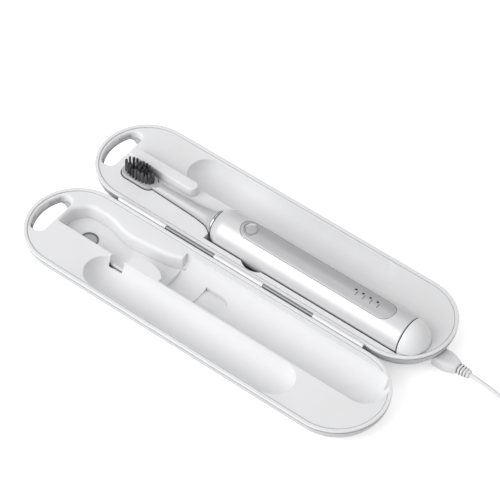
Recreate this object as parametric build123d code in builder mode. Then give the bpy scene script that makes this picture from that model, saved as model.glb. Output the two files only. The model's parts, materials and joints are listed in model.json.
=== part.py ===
from build123d import *
from math import asin, cos, degrees, radians, sin
import os

# Toothbrush sanitizer: a pill-shaped clamshell case, open flat, that charges and disinfects a
# powered toothbrush. Millimetres. The origin is the centre of the base half's resting plane.
# +X runs along the case towards its charging socket, +Y away from the lid, +Z up.

# ---------------------------------------------------------------- case, driving dimensions
CASE_LENGTH = 260.0
CASE_WIDTH = 65.0
RIM_Z = 18.0  # parting plane of the two halves, and height of the hinge axis
RIM_GAP = 3.0  # between the two rims when open flat
END_R = CASE_WIDTH / 2
END_X = CASE_LENGTH / 2 - END_R  # centre of each rounded end
HINGE_Y = -(CASE_WIDTH + RIM_GAP) / 2

# outer shells
SHELL_WALL = 1.5
SHELL_TOP = RIM_Z - 2.0
BELLY_Z = 0.5  # underside of a shell, held up by its feet
BELLY_FLAT = 12.5  # half width of the flat part of the underside
BELLY_CENTRE_Z = RIM_Z - 0.5  # where the curved side stands upright

# trays
LIP_TOP = RIM_Z - 0.1
LIP_UNDER = RIM_Z - 1.2
LIP_WIDTH = 2.3
LIP_INNER_R = END_R - LIP_WIDTH
DECK_Z = RIM_Z - 0.6
DECK_THICK = 1.6
DECK_R = 30.5
GROOVE_WIDTH = 0.4
GROOVE_DEPTH = 0.35
SKIRT_THICK = 1.2
SKIRT_BOTTOM = 14.8
WELL_WALL = 1.2
SKIN_TOP = DECK_Z - 0.5  # the hollows' skins end inside the deck

# carry cut-out at the -X end of each half
CUTOUT_R = 28.3
CUTOUT_SHELL_R = 30.0  # the shell's opening is a little wider than the tray's
CUTOUT_INNER_X = -112.8
CUTOUT_HALF_WIDTH = 16.4
CUTOUT_CORNER = 4.4
CUTOUT_WALL = 1.4
CUTOUT_ROLL = 1.3
CUTOUT_SPLIT_Z = 12.0  # the tray's wall meets the shell's wall here
CUTOUT_SPLIT_GAP = 0.6
INSERT_THICK = 0.9
INSERT_HALF_WIDTH = 13.3
INSERT_TOP = RIM_Z - 2.2
PULL_HALF_WIDTH = 6.5

# spare-head trough
TROUGH_Y = 16.3  # from the half's centre line
TROUGH_R = 12.7
TROUGH_DEPTH = 11.0
TROUGH_FLARE = 0.5
TROUGH_X = (-62.6, 64.3)  # centres of its rounded ends

# brush
BRUSH_Y = HINGE_Y + 21.8
HANDLE_R = 13.25
HANDLE_FRONT_X = -31.8
HANDLE_END_X = 109.0
HANDLE_WALL = 1.8
SHOULDER_X = -24.0
CAP_X = 106.2
RING_R = 8.8
SHAFT_R = 1.5
SHAFT_X = (-50.0, -20.5)
BUTTON_X = -7.3
BUTTON_R = 3.4
BUTTON_TOP = 12.85  # heights of the button's parts above the brush's axis
BUTTON_FLANGE = (9.0, 9.8)
BEZEL_R = 4.85
PANEL_HALF_WIDTH = 6.85
PANEL_END_X = 98.0
PANEL_THICK = 0.7
SEAM = 0.25
LIGHT_X = (69.5, 74.7, 79.9, 85.1)
LIGHT_Y = 1.2
LIGHT_R = 0.75
BOARD_Z = 7.6
NECK = [(-84.0, 2.7), (-78.0, 3.1), (-70.0, 3.4), (-58.0, 3.9), (-46.0, 4.6),
        (-40.0, 5.4), (-36.5, 6.5), (-34.6, 7.8), (-33.6, 8.6)]
HEAD_X = -93.6
HEAD_LENGTH = 25.4
HEAD_HALF_WIDTH = 5.7
HEAD_BOTTOM = RIM_Z - 2.2
HEAD_TOP = RIM_Z + 1.6
TUFT_TOP = RIM_Z + 10.7
TUFT_R = 0.8
TUFT_RINGS = [(20, 10.4, 4.0, 0.0), (12, 7.6, 1.5, 1.2)]  # tufts, half length and width, drop
TUFT_NOTCH = 1.4

# cradle and lid pocket for the handle
CRADLE_R = 14.15
CRADLE_FRONT_X = -33.0
DOCK_X = 109.6
DOCK_R = 13.2

# charging socket and lead
SOCKET_Y = -4.8
SOCKET_Z = 6.5
SOCKET_X = 114.0
SOCKET_LENGTH = 7.0
PLUG_FACE_X = 125.4
PLUG_WIDTH = 11.7
PLUG_HEIGHT = 7.5
PLUG_LENGTH = 15.6
RELIEF_LENGTH = 8.0
CABLE_R = 1.4
CABLE_END = (232.0, 2.0, 3.9)

# screws that hold each tray to its shell, at (x, distance outward from the case's spine)
SCREW_SPOTS = [(-98.0, 12.0), (-98.0, -24.0), (100.0, 20.0), (117.5, 12.0)]
SCREW_SPLIT_Z = 8.2
SCREW_SEAT_Z = 6.4
SCREW_TIP_Z = 13.0
SCREW_R = 1.0
SCREW_HEAD_R = 1.9
SCREW_POST_R = 3.4
FOOT_R = 4.0
FOOT_RECESS = 0.6
FOOT_SPOTS = [(-88.0, -6.5), (-88.0, 6.5), (88.0, -6.5), (88.0, 6.5), (0.0, 0.0)]

MAGNET_SPOTS = [(-88.0, 18.0), (90.0, 18.0)]
MAGNET_R = 4.0

# hinge: five equal lengths of knuckle on one pin
HINGE_LENGTH = 184.5
HINGE_SEGMENT = HINGE_LENGTH / 5
KNUCKLE_R = 1.3
KNUCKLE_END_GAP = 0.15
PIN_R = 0.5
LEAF_R = 0.9
LEAF_THICK = 0.4

# head recess, support block and finger scoop in the base
HEAD_GAP = 0.8
HEAD_RECESS_Z = RIM_Z - 4.6
BLOCK_X = (-108.0, -57.2)
BLOCK_Y = HINGE_Y + 32.25
BLOCK_WIDTH = 7.3
BLOCK_TOP = RIM_Z + 6.3
FINGER_X = 3.4
FINGER_R = 10.6
FINGER_REACH = 3.1
FINGER_Z = 8.0

# lid pockets
LID_HEAD_Z = RIM_Z - 11.2
LID_ROLL = 2.4
HEAD_POCKET_FAR = [(-30.5, -11.4), (-37.5, -14.8), (-46.0, -16.8), (-58.0, -17.9), (-71.0, -18.6),
                   (-79.0, -17.0), (-85.0, -15.2), (-91.0, -14.7), (-98.0, -14.9), (-104.5, -16.9),
                   (-108.8, -22.0), (-109.8, -29.0)]
HEAD_POCKET_NEAR = -36.4  # a narrow ridge is left between this pocket and the trough
LID_POCKET_END_X = 109.2
BUTTON_POCKET_X = (-13.2, 6.6)
BUTTON_POCKET_R = 7.7
BUTTON_POCKET_Z = 3.4
NOTCH_X = (-67.6, -57.6)
NOTCH_Z = 9.5
LAMP_X = -91.8
LAMP_Y = HINGE_Y - 29.7
LAMP_R = 6.1
LAMP_BOARD_Z = 3.4

LID_MIRROR = Plane.XZ.offset(-HINGE_Y)
BRUSH_AXIS = Axis((0, BRUSH_Y, RIM_Z), (1, 0, 0))
BRUSH_SIDE = Plane((0, BRUSH_Y, RIM_Z), x_dir=(1, 0, 0), z_dir=(0, -1, 0))

os.makedirs("parts", exist_ok=True)


def finish(piece, label):
    """Name a finished piece and write it."""
    piece.part.label = label
    export_step(piece.part, f"parts/{label}.step")


def across(x):
    """A plane across the case at x: local x is +Y, local y is +Z."""
    return Plane.YZ.offset(x)


def on_lid(solid):
    """The same solid on the lid's side of the hinge."""
    return solid.mirror(LID_MIRROR)


def belly_profile(inset):
    """Half of the case's cross-section, from the spine outwards."""
    side = END_R - BELLY_FLAT - inset
    low = BELLY_Z + inset
    top = RIM_Z + 2
    with BuildSketch() as profile:
        with BuildLine():
            Polyline((BELLY_FLAT, low), (0, low), (0, top), (BELLY_FLAT + side, top),
                     (BELLY_FLAT + side, BELLY_CENTRE_Z))
            EllipticalCenterArc((BELLY_FLAT, BELLY_CENTRE_Z), side, BELLY_CENTRE_Z - low,
                                start_angle=270, arc_size=90)
        make_face()
    return profile.sketch


def belly(inset):
    """A solid half-case: pill-shaped in plan, with a flat underside and elliptical sides."""
    profile = belly_profile(inset)
    with BuildPart() as blank:
        for end in (-END_X, END_X):
            with BuildSketch(Plane((end, 0, 0), x_dir=(1, 0, 0), z_dir=(0, -1, 0))):
                add(profile)
            revolve(axis=Axis((end, 0, 0), (0, 0, 1)))
        with BuildSketch(across(-END_X)):
            add(profile)
            mirror(about=Plane.YZ)
        extrude(amount=2 * END_X)
    return blank.part


def trough_profile(grow):
    """Half of the trough's cross-section: a quarter ellipse, open at the deck."""
    with BuildSketch() as profile:
        with BuildLine():
            EllipticalCenterArc((0, 0), TROUGH_R + grow, TROUGH_DEPTH + grow,
                                start_angle=270, arc_size=90)
            Polyline((TROUGH_R + grow, 0), (TROUGH_R + grow, 1), (0, 1),
                     (0, -TROUGH_DEPTH - grow))
        make_face()
    return profile.sketch


def trough(grow):
    """The trough's hollow, or its outer skin when grown by the wall."""
    profile = trough_profile(grow)
    with BuildPart() as hollow:
        for x in TROUGH_X:
            with BuildSketch(Plane((x, TROUGH_Y, DECK_Z), x_dir=(1, 0, 0), z_dir=(0, -1, 0))):
                add(profile)
            revolve(axis=Axis((x, TROUGH_Y, 0), (0, 0, 1)))
        with BuildSketch(Plane((TROUGH_X[0], TROUGH_Y, DECK_Z), x_dir=(0, 1, 0), z_dir=(1, 0, 0))):
            add(profile)
            mirror(about=Plane.YZ)
        extrude(amount=TROUGH_X[1] - TROUGH_X[0])
    return hollow.part


def cutout(radius=CUTOUT_R, grow=0.0):
    """The carry cut-out: an arc that follows the case's end, and a straight inner edge."""
    half = degrees(asin(CUTOUT_HALF_WIDTH / radius))
    with BuildSketch() as outline:
        with BuildLine():
            arc = CenterArc((-END_X, 0), radius, 180 - half, 2 * half)
            Polyline(arc @ 1, (CUTOUT_INNER_X, -CUTOUT_HALF_WIDTH),
                     (CUTOUT_INNER_X, CUTOUT_HALF_WIDTH), arc @ 0)
        make_face()
        fillet(outline.vertices(), CUTOUT_CORNER)
        if grow:
            offset(amount=grow)
    return outline.sketch


def pill_ring(outer, inner):
    """The plan outline of a band that runs round the case."""
    with BuildSketch() as band:
        SlotOverall(2 * (END_X + outer), 2 * outer)
        SlotOverall(2 * (END_X + inner), 2 * inner, mode=Mode.SUBTRACT)
    return band.sketch


def rolled(hollow, roll):
    """A hollow whose mouth at deck level rolls outwards."""
    with BuildPart() as block:
        with BuildSketch(Plane.XY.offset(DECK_Z)):
            Rectangle(2 * CASE_LENGTH, 6 * CASE_WIDTH)
        extrude(amount=-2 * RIM_Z)
    with BuildPart() as plate:
        add(block.part)
        add(hollow, mode=Mode.SUBTRACT)
        mouth = plate.edges().filter_by_position(Axis.Z, DECK_Z - 0.01, DECK_Z + 0.01)
        mouth = mouth.filter_by_position(Axis.X, -CASE_LENGTH / 2, CASE_LENGTH / 2)
        mouth = mouth.filter_by_position(Axis.Y, -2 * CASE_WIDTH, 2 * CASE_WIDTH)
        fillet(mouth, roll)
    with BuildPart() as tool:
        add(block.part)
        add(plate.part, mode=Mode.SUBTRACT)
    return tool.part


def prism(outline, low, high):
    """An outline drawn level with the ground, raised from low to high."""
    with BuildPart() as solid:
        with BuildSketch(Plane.XY.offset(low)):
            add(outline)
        extrude(amount=high - low)
    return solid.part


def button_pocket(grow):
    """Plan of the flat relief under the power button: straight at one end, round at the other."""
    x0, x1 = BUTTON_POCKET_X
    with BuildSketch() as plan:
        with Locations((x1 - BUTTON_POCKET_R, HINGE_Y - 21.8)):
            Circle(BUTTON_POCKET_R + grow)
        with Locations(((x0 + x1 - BUTTON_POCKET_R) / 2, HINGE_Y - 21.8)):
            Rectangle(x1 - BUTTON_POCKET_R - x0 + 2 * grow, 2 * (BUTTON_POCKET_R + grow))
    return plan.sketch


def far_side(spread):
    """Far side of the lid's head pocket, moved outwards by spread; measured from the hinge line."""
    with BuildLine():
        path = Spline(*HEAD_POCKET_FAR, tangents=((-1, -0.6), (0, -1)))
    steps = [k / 24 for k in range(25)]
    return [path @ t + spread * (path % t).rotate(Axis.Z, -90) for t in steps]


def head_pocket_plan(spread=0.0):
    """Plan of the lid's head pocket: a curved far side, a straight near side and a tongue."""
    with BuildSketch() as plan:
        with BuildLine():
            far = Spline(*far_side(spread))
            Polyline(far @ 1, ((far @ 1).X, HEAD_POCKET_NEAR), (-56.6, HEAD_POCKET_NEAR),
                     (-56.3, -34.5))
            tongue = Spline((-56.3, -34.5), (-55.0, -29.6), (-50.0, -27.6), (-43.0, -27.9),
                            (-37.5, -29.4), (-32.5, -33.5))
            Line(tongue @ 1, far @ 0)
        make_face()
    return plan.sketch.moved(Location((0, HINGE_Y, 0)))


def roll_plan(spread):
    """One level of the roll along the head pocket's far side; its other sides are in the hollow."""
    with BuildSketch() as plan:
        with BuildLine():
            far = Spline(*far_side(spread))
            Polyline(far @ 1, ((far @ 1).X, -36.0), (-100.0, -36.0), (-98.0, -27.0), (-45.0, -22.0),
                     (-34.0, -16.0), far @ 0)
        make_face()
    return plan.sketch.moved(Location((0, HINGE_Y, 0)))


def under_deck(skin, room):
    """The part of a hollow's outer skin that hangs below the deck, kept inside the room given."""
    with BuildPart() as trimmed:
        add(skin)
        add(room, mode=Mode.INTERSECT)
        with BuildSketch(Plane.XY.offset(SKIN_TOP)):
            Rectangle(2 * CASE_LENGTH, 6 * CASE_WIDTH)
        extrude(amount=2 * RIM_Z, mode=Mode.SUBTRACT)
    return trimmed.part


def neck_body(grow, front_x=NECK[-1][0] + 0.1):
    """The brush's neck turned about its axis, or its clearance when grown."""
    with BuildPart() as turned:
        with BuildSketch(BRUSH_SIDE):
            with BuildLine():
                rim = Spline(*[(x, r + grow) for x, r in NECK])
                Polyline(rim @ 0, (NECK[0][0], 0), (front_x, 0), (front_x, (rim @ 1).Y), rim @ 1)
            make_face()
        revolve(axis=BRUSH_AXIS)
    return turned.part


def tube(outer, inner=0.0):
    """A tube, or a rod, about the brush's axis."""
    with BuildPart() as pipe:
        with BuildSketch(across(-60)):
            with Locations((BRUSH_Y, RIM_Z)):
                Circle(outer)
                if inner:
                    Circle(inner, mode=Mode.SUBTRACT)
        extrude(amount=200)
    return pipe.part


def panel_strip(outer, inner, grow):
    """A round-ended strip of tube wall along the top of the handle."""
    front_x = BUTTON_X - PANEL_HALF_WIDTH
    with BuildPart() as strip:
        add(tube(outer, inner))
        with BuildSketch(Plane.XY.offset(RIM_Z)):
            with Locations(((front_x + PANEL_END_X) / 2, BRUSH_Y)):
                SlotOverall(PANEL_END_X - front_x + 2 * grow, 2 * (PANEL_HALF_WIDTH + grow))
        extrude(amount=2 * HANDLE_R, mode=Mode.INTERSECT)
    return strip.part


# ================================================================= what both halves share

with BuildPart() as shell_cavity:
    # the inside of a shell, less the tube round the carry cut-out and the screw posts
    add(belly(SHELL_WALL))
    with BuildSketch():
        add(cutout(CUTOUT_SHELL_R, CUTOUT_WALL))
    extrude(amount=CUTOUT_SPLIT_Z - CUTOUT_SPLIT_GAP, mode=Mode.SUBTRACT)
    with BuildSketch():
        with Locations(*SCREW_SPOTS):
            Circle(SCREW_POST_R)
    extrude(amount=SCREW_SPLIT_Z - 0.2, mode=Mode.SUBTRACT)

with BuildPart() as shell_common:
    add(belly(0))
    add(shell_cavity.part, mode=Mode.SUBTRACT)
    with BuildSketch(Plane.XY.offset(SHELL_TOP)):
        Rectangle(CASE_LENGTH + 10, CASE_WIDTH + 10)
    extrude(amount=10, mode=Mode.SUBTRACT)
    add(prism(cutout(CUTOUT_SHELL_R), 0, RIM_Z), mode=Mode.SUBTRACT)
    with BuildSketch():
        with Locations(*SCREW_SPOTS):
            Circle(SCREW_R + 0.15)
    extrude(amount=RIM_Z, mode=Mode.SUBTRACT)
    with BuildSketch():
        with Locations(*SCREW_SPOTS):
            Circle(SCREW_HEAD_R + 0.2)
    extrude(amount=SCREW_SEAT_Z, mode=Mode.SUBTRACT)
    with BuildSketch():
        with Locations(*FOOT_SPOTS):
            Circle(FOOT_R)
    extrude(amount=BELLY_Z + FOOT_RECESS, mode=Mode.SUBTRACT)

shell_room = belly(SHELL_WALL + 0.1)
trough_tool = rolled(trough(0), TROUGH_FLARE)
cutout_tool = rolled(prism(cutout(), -1, DECK_Z + 1), CUTOUT_ROLL)

with BuildPart() as tray_common:
    # deck slab, raised lip, and the skirt that drops inside the shell
    with BuildSketch(Plane.XY.offset(LIP_UNDER)):
        add(pill_ring(END_R, LIP_INNER_R))
    extrude(amount=LIP_TOP - LIP_UNDER)
    fillet(tray_common.edges().group_by(Axis.Z)[-1], 0.35)
    with BuildSketch(Plane.XY.offset(DECK_Z - DECK_THICK)):
        SlotOverall(2 * (END_X + DECK_R), 2 * DECK_R)
    extrude(amount=DECK_THICK)
    with BuildSketch(Plane.XY.offset(SKIRT_BOTTOM)):
        add(pill_ring(DECK_R, DECK_R - SKIRT_THICK))
    extrude(amount=DECK_Z - DECK_THICK - SKIRT_BOTTOM)
    with BuildSketch(Plane.XY.offset(DECK_Z)):
        add(pill_ring(LIP_INNER_R, LIP_INNER_R - GROOVE_WIDTH))
    extrude(amount=-GROOVE_DEPTH, mode=Mode.SUBTRACT)
    # skins of the trough and the carry cut-out, and the screw posts
    add(under_deck(trough(WELL_WALL), shell_room))
    add(prism(cutout(grow=CUTOUT_WALL), CUTOUT_SPLIT_Z, SKIN_TOP))
    with BuildSketch(Plane.XY.offset(SCREW_SPLIT_Z)):
        with Locations(*SCREW_SPOTS):
            Circle(SCREW_POST_R - 0.8)
    extrude(amount=DECK_Z - 0.5 - SCREW_SPLIT_Z)
    with BuildSketch(Plane.XY.offset(SCREW_SPLIT_Z)):
        with Locations(*SCREW_SPOTS):
            Circle(SCREW_R + 0.03)
    extrude(amount=SCREW_TIP_Z + 0.5 - SCREW_SPLIT_Z, mode=Mode.SUBTRACT)
    add(trough_tool, mode=Mode.SUBTRACT)
    add(cutout_tool, mode=Mode.SUBTRACT)

with BuildPart() as insert_common:
    # a thin curved plate that lines the cut-out's outer wall, open in the middle for a fingertip
    with BuildSketch(Plane.XY.offset(CUTOUT_SPLIT_Z)):
        with Locations((-END_X, 0)):
            Circle(CUTOUT_R - 0.02)
            Circle(CUTOUT_R - INSERT_THICK, mode=Mode.SUBTRACT)
        with Locations((-END_X - CUTOUT_R, 0)):
            Rectangle(2 * CUTOUT_R, 2 * INSERT_HALF_WIDTH, mode=Mode.INTERSECT)
        with Locations((-END_X - CUTOUT_R, 0)):
            Rectangle(10, 2 * PULL_HALF_WIDTH, mode=Mode.SUBTRACT)
    extrude(amount=INSERT_TOP - CUTOUT_SPLIT_Z)
    with BuildSketch(Plane.XY.offset(CUTOUT_SPLIT_Z)):
        with Locations((-END_X, 0)):
            Circle(CUTOUT_R - 0.02)
            Circle(CUTOUT_R - INSERT_THICK, mode=Mode.SUBTRACT)
        with Locations((-END_X - CUTOUT_R, 0)):
            Rectangle(10, 2 * PULL_HALF_WIDTH + 1, mode=Mode.INTERSECT)
    extrude(amount=0.6)

with BuildPart() as screws_common:
    with BuildSketch(Plane.XY.offset(SCREW_SEAT_Z)):
        with Locations(*SCREW_SPOTS):
            Circle(SCREW_R)
    extrude(amount=SCREW_TIP_Z - SCREW_SEAT_Z)
    with BuildSketch(Plane.XY.offset(SCREW_SEAT_Z)):
        with Locations(*SCREW_SPOTS):
            Circle(SCREW_HEAD_R)
    extrude(amount=-1.2)
    with BuildSketch(Plane.XY.offset(SCREW_SEAT_Z - 1.2)):
        with Locations(*SCREW_SPOTS):
            RegularPolygon(0.8, 6)
    extrude(amount=0.8, mode=Mode.SUBTRACT)

with BuildPart() as feet_common:
    with BuildSketch():
        with Locations(*FOOT_SPOTS):
            Circle(FOOT_R - 0.1)
    extrude(amount=BELLY_Z + FOOT_RECESS)
    fillet(feet_common.edges().group_by(Axis.Z)[0], 0.3)

with BuildPart() as magnets_common:
    with BuildSketch(Plane.XY.offset(DECK_Z - DECK_THICK)):
        with Locations(*MAGNET_SPOTS):
            Circle(MAGNET_R)
    extrude(amount=-2.0)

# ================================================================= base half

with BuildPart() as socket_boss:
    # thickens the end wall round the socket
    with BuildSketch(across(PLUG_FACE_X - 3.2)):
        with Locations((SOCKET_Y, SOCKET_Z)):
            Rectangle(PLUG_WIDTH + 3.6, PLUG_HEIGHT + 3.6)
    extrude(amount=10)
    add(belly(SHELL_WALL / 2), mode=Mode.INTERSECT)

with BuildPart() as base_shell:
    add(shell_common.part)
    add(socket_boss.part)
    with BuildSketch(across(PLUG_FACE_X - 0.2)):
        with Locations((SOCKET_Y, SOCKET_Z)):
            RectangleRounded(PLUG_WIDTH + 0.8, PLUG_HEIGHT + 0.8, 2.0)
    extrude(amount=10, mode=Mode.SUBTRACT)
    with BuildSketch(across(PLUG_FACE_X - 6)):
        with Locations((SOCKET_Y, SOCKET_Z)):
            RectangleRounded(8.2, 3.4, 0.8)
    extrude(amount=12, mode=Mode.SUBTRACT)
finish(base_shell, "base_shell")

with BuildPart() as support_block:
    # stands beside the brush head: round at the neck end, with softened edges
    with BuildSketch(Plane.XY.offset(DECK_Z - 1.0)):
        with Locations(((BLOCK_X[0] + BLOCK_X[1]) / 2, BLOCK_Y)):
            plan = Rectangle(BLOCK_X[1] - BLOCK_X[0], BLOCK_WIDTH)
        fillet(plan.vertices().group_by(Axis.X)[-1], BLOCK_WIDTH / 2 - 0.1)
        fillet(plan.vertices().group_by(Axis.X)[0], 1.5)
    extrude(amount=BLOCK_TOP - DECK_Z + 1.0)
    fillet(support_block.edges().group_by(Axis.Z)[-1], 0.8)

with BuildPart() as cradle_skin:
    with BuildSketch(across(CRADLE_FRONT_X - WELL_WALL)):
        with Locations((BRUSH_Y, RIM_Z)):
            Circle(CRADLE_R + WELL_WALL)
    extrude(amount=DOCK_X - CRADLE_FRONT_X + WELL_WALL)
    add(neck_body(0.6 + WELL_WALL, CRADLE_FRONT_X))
    with BuildSketch(Plane.XY.offset(HEAD_RECESS_Z - WELL_WALL)):
        with Locations((HEAD_X, BRUSH_Y)):
            SlotOverall(HEAD_LENGTH + 2 * (HEAD_GAP + WELL_WALL),
                        2 * (HEAD_HALF_WIDTH + HEAD_GAP + WELL_WALL))
    extrude(amount=DECK_Z - HEAD_RECESS_Z)

with BuildPart() as base_tray:
    add(tray_common.part)
    add(under_deck(cradle_skin.part, shell_room))
    add(support_block.part)
    with BuildSketch(Plane.XY.offset(DECK_Z - DECK_THICK)):
        with Locations(((BLOCK_X[0] + BLOCK_X[1]) / 2, BLOCK_Y)):
            RectangleRounded(BLOCK_X[1] - BLOCK_X[0] - 3.6, BLOCK_WIDTH - 3.6, 1.0)
    extrude(amount=BLOCK_TOP - DECK_Z, mode=Mode.SUBTRACT)
    # hollows for the brush, the dock and a fingertip
    with BuildSketch(across(CRADLE_FRONT_X)):
        with Locations((BRUSH_Y, RIM_Z)):
            Circle(CRADLE_R)
    extrude(amount=DOCK_X + 1 - CRADLE_FRONT_X, mode=Mode.SUBTRACT)
    add(neck_body(0.6, CRADLE_FRONT_X + 0.1), mode=Mode.SUBTRACT)
    with BuildSketch(Plane.XY.offset(HEAD_RECESS_Z)):
        with Locations((HEAD_X, BRUSH_Y)):
            SlotOverall(HEAD_LENGTH + 2 * HEAD_GAP, 2 * (HEAD_HALF_WIDTH + HEAD_GAP))
    extrude(amount=RIM_Z, mode=Mode.SUBTRACT)
    with Locations((DOCK_X, BRUSH_Y, RIM_Z)):
        Sphere(DOCK_R + 0.1, mode=Mode.SUBTRACT)
    with BuildSketch(Plane.XY.offset(FINGER_Z)):
        with Locations((FINGER_X, BRUSH_Y - CRADLE_R + FINGER_R - FINGER_REACH)):
            Circle(FINGER_R)
    extrude(amount=RIM_Z, mode=Mode.SUBTRACT)
    # hinge knuckles: first, third and fifth of the five lengths
    for step in (-2, 0, 2):
        with BuildSketch(across(step * HINGE_SEGMENT - HINGE_SEGMENT / 2 + KNUCKLE_END_GAP)):
            with Locations((HINGE_Y, RIM_Z)):
                Circle(KNUCKLE_R)
            with Locations((HINGE_Y + 1.5, RIM_Z - 0.75)):
                Rectangle(1.8, 0.8)
            with Locations((HINGE_Y, RIM_Z)):
                Circle(PIN_R + 0.02, mode=Mode.SUBTRACT)
        extrude(amount=HINGE_SEGMENT - 2 * KNUCKLE_END_GAP)
finish(base_tray, "base_tray")

with BuildPart() as base_pull_insert:
    add(insert_common.part)
finish(base_pull_insert, "base_pull_insert")

with BuildPart() as base_screws:
    add(screws_common.part)
finish(base_screws, "base_screws")

with BuildPart() as base_feet:
    add(feet_common.part)
finish(base_feet, "base_feet")

with BuildPart() as base_magnets:
    add(magnets_common.part)
finish(base_magnets, "base_magnets")

with BuildPart() as hinge_pin:
    with BuildSketch(across(-HINGE_LENGTH / 2)):
        with Locations((HINGE_Y, RIM_Z)):
            Circle(PIN_R)
    extrude(amount=HINGE_LENGTH)
    chamfer(hinge_pin.edges(), 0.15)
finish(hinge_pin, "hinge_pin")

with BuildPart() as charging_dock:
    # a hollow half-ball that continues the handle's shape, with a flat charging face
    with BuildSketch(BRUSH_SIDE) as ball:
        with Locations((DOCK_X, 0)):
            Circle(DOCK_R)
            Circle(DOCK_R - 1.4, mode=Mode.SUBTRACT)
        with Locations((DOCK_X + 0.6, DOCK_R / 2)):
            Rectangle(1.2, DOCK_R)
        with Locations((DOCK_X + DOCK_R, DOCK_R)):
            Rectangle(2 * DOCK_R, 2 * DOCK_R, mode=Mode.INTERSECT)
    revolve(axis=BRUSH_AXIS)
    fillet(charging_dock.edges().group_by(Axis.X)[0].sort_by(SortBy.RADIUS)[-1], 0.4)
    with BuildSketch(Plane.XY):
        with Locations((SOCKET_X + 5, SOCKET_Y)):
            Rectangle(12.0, 9.0)
    extrude(amount=SOCKET_Z + 2.0, mode=Mode.SUBTRACT)
finish(charging_dock, "charging_dock")

with BuildPart() as charging_coil:
    with BuildSketch(across(DOCK_X + 1.3)):
        with Locations((BRUSH_Y, RIM_Z)):
            Circle(9.0)
            Circle(4.0, mode=Mode.SUBTRACT)
    extrude(amount=1.5)
finish(charging_coil, "charging_coil")

with BuildPart() as ferrite_disc:
    with BuildSketch(across(DOCK_X + 2.9)):
        with Locations((BRUSH_Y, RIM_Z)):
            Circle(9.5)
    extrude(amount=1.0)
finish(ferrite_disc, "ferrite_disc")

with BuildPart() as main_board:
    with BuildSketch(Plane.XY.offset(4.2)):
        with Locations((97.0, 9.0)):
            Rectangle(30.0, 13.0)
        with Locations((114.1, -1.5)):
            Rectangle(4.8, 15.0)
        with Locations((112.0, 4.0)):
            Rectangle(9.0, 4.0)
    extrude(amount=1.0)
    with BuildSketch(Plane.XY.offset(5.2)):
        with Locations((102.0, 10.0)):
            Rectangle(5.0, 5.0)
        with Locations((90.0, 9.0)):
            with GridLocations(4.0, 5.0, 3, 2):
                Rectangle(1.6, 0.8)
    extrude(amount=0.8)
finish(main_board, "main_board")

with BuildPart() as case_battery:
    with BuildSketch(Plane.XY.offset(6.2)):
        with Locations((90.0, 9.5)):
            RectangleRounded(15.0, 12.0, 1.0)
    extrude(amount=7.0)
finish(case_battery, "case_battery")

with BuildPart() as usb_receptacle:
    with BuildSketch(across(SOCKET_X)):
        with Locations((SOCKET_Y, SOCKET_Z)):
            RectangleRounded(7.6, 2.6, 0.6)
    extrude(amount=SOCKET_LENGTH)
    with BuildSketch(across(SOCKET_X + 0.8)):
        with Locations((SOCKET_Y, SOCKET_Z)):
            RectangleRounded(7.0, 2.1, 0.5)
    extrude(amount=SOCKET_LENGTH, mode=Mode.SUBTRACT)
finish(usb_receptacle, "usb_receptacle")

# ================================================================= lid half

with BuildPart() as lid_shell:
    add(on_lid(shell_common.part))
finish(lid_shell, "lid_shell")

with BuildPart() as pocket_roll:
    # a quarter-round that turns the far wall into the deck, run on a little at both ends
    for turn in (0, 18, 36, 54, 72, 90):
        level = DECK_Z + 0.03 - (LID_ROLL + 0.03) * (1 - sin(radians(turn)))
        with BuildSketch(Plane.XY.offset(level)):
            add(roll_plan(LID_ROLL * (1 - cos(radians(turn))) - 0.03))
    loft(ruled=True)

with BuildPart() as handle_pocket:
    with BuildSketch(across(CRADLE_FRONT_X)):
        with Locations((HINGE_Y - 21.8, RIM_Z)):
            Circle(CRADLE_R)
    extrude(amount=LID_POCKET_END_X - CRADLE_FRONT_X)
    with Locations((LID_POCKET_END_X, HINGE_Y - 21.8, RIM_Z)):
        Sphere(CRADLE_R)

with BuildPart() as lid_pocket_skin:
    with BuildSketch(across(CRADLE_FRONT_X - WELL_WALL)):
        with Locations((HINGE_Y - 21.8, RIM_Z)):
            Circle(CRADLE_R + WELL_WALL)
    extrude(amount=LID_POCKET_END_X - CRADLE_FRONT_X + WELL_WALL)
    with Locations((LID_POCKET_END_X, HINGE_Y - 21.8, RIM_Z)):
        Sphere(CRADLE_R + WELL_WALL)
    with BuildSketch(Plane.XY.offset(LID_HEAD_Z - WELL_WALL)):
        add(head_pocket_plan(WELL_WALL))
        with Locations((-83.7, HINGE_Y - 32.0)):
            Rectangle(54.6, 12.6)
        with Locations((-45.0, HINGE_Y - 31.0)):
            Rectangle(26.0, 10.0)
    extrude(amount=DECK_Z - LID_HEAD_Z)
    with BuildSketch(Plane.XY.offset(BUTTON_POCKET_Z - WELL_WALL)):
        add(button_pocket(WELL_WALL))
    extrude(amount=3.0)

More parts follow.
